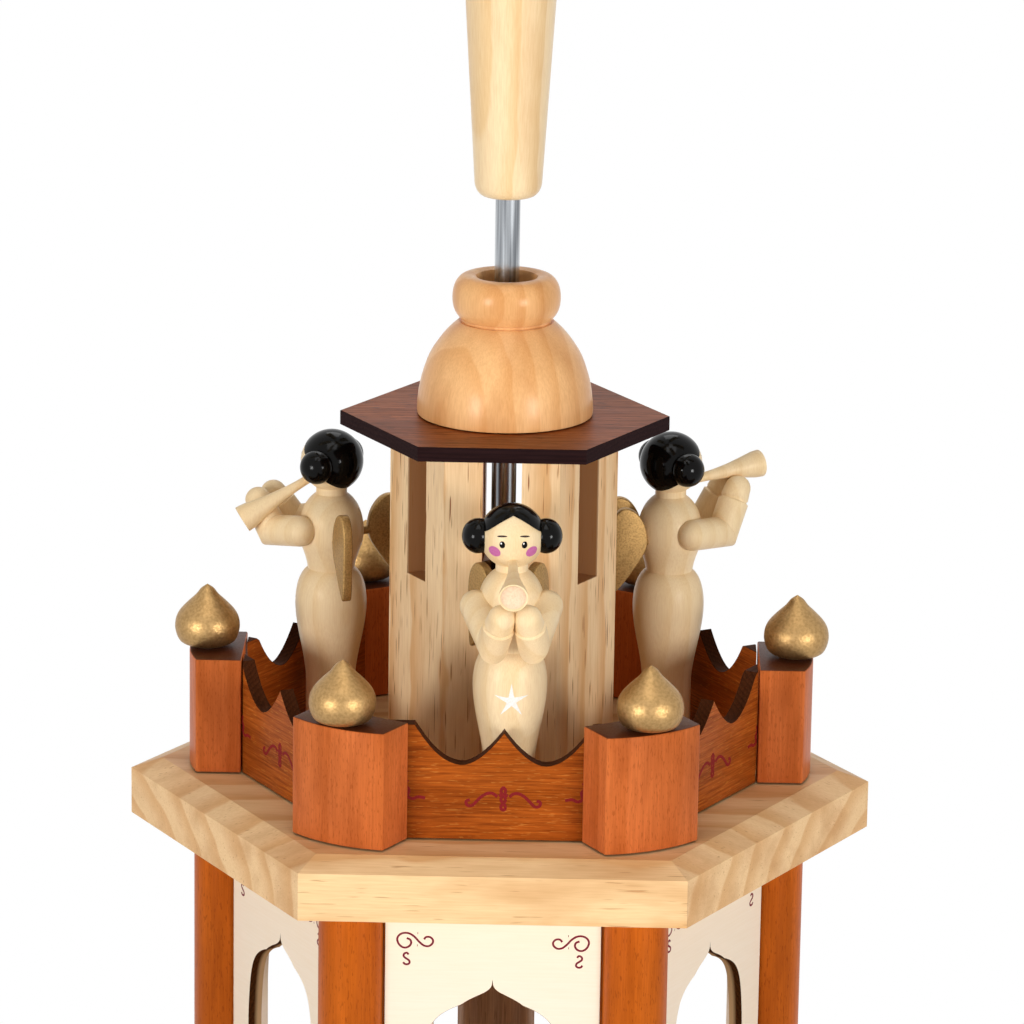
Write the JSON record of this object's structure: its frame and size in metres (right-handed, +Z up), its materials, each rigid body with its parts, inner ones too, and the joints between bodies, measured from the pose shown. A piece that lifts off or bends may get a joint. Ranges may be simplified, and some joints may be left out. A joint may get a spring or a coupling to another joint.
{
  "type": "candle carousel",
  "caption": "Hexagonal wooden candle carousel: arcaded stage, parapet deck with trumpeting figures and slotted tower, wind wheel on a steel shaft.",
  "frame": {"origin": "middle of the base board's underside, on the shaft's axis", "axes": "+Z up along the shaft; the front side of the hexagon faces -Y; the corners lie at 0, 60, 120 degrees and so on from +X"},
  "size_m": [0.28, 0.2592, 0.3499],
  "materials": {
    "pine": "clear satin lacquer over knotty pine",
    "stained_wood": "red-brown stain, satin lacquer",
    "stained_plywood": "dark brown stain, laser-burnt edges",
    "birch_plywood": "pale lacquer, burnt cut edges, crimson painted scrolls",
    "honey_wood": "honey lacquer, semi-gloss",
    "walnut_wood": "brown stain, semi-gloss",
    "maple": "clear satin lacquer",
    "gold": "metallic gold paint over wood",
    "brass": "pressed and polished",
    "steel": "ground bright",
    "bearing_glass": "clear"
  },
  "bodies": {
    "frame": {"base_board": "pine", "deck": "pine", "tower": "pine", "column_1": "stained_wood", "column_2": "stained_wood", "column_3": "stained_wood", "column_4": "stained_wood", "column_5": "stained_wood", "column_6": "stained_wood", "post_1": "stained_wood", "post_2": "stained_wood", "post_3": "stained_wood", "post_4": "stained_wood", "post_5": "stained_wood", "post_6": "stained_wood", "rail_panel_1": "stained_plywood", "rail_panel_2": "stained_plywood", "rail_panel_3": "stained_plywood", "rail_panel_4": "stained_plywood", "rail_panel_5": "stained_plywood", "rail_panel_6": "stained_plywood", "roof_plate": "stained_plywood", "arch_panel_1": "birch_plywood", "arch_panel_2": "birch_plywood", "arch_panel_3": "birch_plywood", "arch_panel_4": "birch_plywood", "arch_panel_5": "birch_plywood", "arch_panel_6": "birch_plywood", "dome": "honey_wood", "angel_front": "maple", "trumpet_front": "maple", "angel_right": "maple", "trumpet_right": "maple", "angel_left": "maple", "trumpet_left": "maple", "finial_1": "gold", "finial_2": "gold", "finial_3": "gold", "finial_4": "gold", "finial_5": "gold", "finial_6": "gold", "wings_front": "gold", "wings_right": "gold", "wings_left": "gold", "candle_cup_1": "brass", "candle_cup_2": "brass", "candle_cup_3": "brass", "candle_cup_4": "brass", "candle_cup_5": "brass", "candle_cup_6": "brass", "bearing_cup": "bearing_glass"},
    "rotor": {"shaft": "steel", "hub": "honey_wood", "turntable": "walnut_wood"},
    "blade_arm_1": {"blade_1": "maple"},
    "blade_arm_2": {"blade_2": "maple"},
    "blade_arm_3": {"blade_3": "maple"},
    "blade_arm_4": {"blade_4": "maple"},
    "blade_arm_5": {"blade_5": "maple"},
    "blade_arm_6": {"blade_6": "maple"}
  },
  "joints": [
    {"name": "rotor_spin", "type": "hinge", "parent": "frame", "child": "rotor", "pos_m": [0, 0, 0.2], "axis": [0, 0, 1], "continuous": true},
    {"name": "blade_pitch_1", "type": "hinge", "parent": "rotor", "child": "blade_arm_1", "pos_m": [0, 0, 0.3219], "axis": [1, 0, 0], "range_deg": [-35, 55]},
    {"name": "blade_pitch_2", "type": "hinge", "parent": "rotor", "child": "blade_arm_2", "pos_m": [0, 0, 0.3219], "axis": [0.5, 0.866, 0], "range_deg": [-35, 55]},
    {"name": "blade_pitch_3", "type": "hinge", "parent": "rotor", "child": "blade_arm_3", "pos_m": [0, 0, 0.3219], "axis": [-0.5, 0.866, 0], "range_deg": [-35, 55]},
    {"name": "blade_pitch_4", "type": "hinge", "parent": "rotor", "child": "blade_arm_4", "pos_m": [0, 0, 0.3219], "axis": [-1, 0, 0], "range_deg": [-35, 55]},
    {"name": "blade_pitch_5", "type": "hinge", "parent": "rotor", "child": "blade_arm_5", "pos_m": [0, 0, 0.3219], "axis": [-0.5, -0.866, 0], "range_deg": [-35, 55]},
    {"name": "blade_pitch_6", "type": "hinge", "parent": "rotor", "child": "blade_arm_6", "pos_m": [0, 0, 0.3219], "axis": [0.5, -0.866, 0], "range_deg": [-35, 55]}
  ]
}
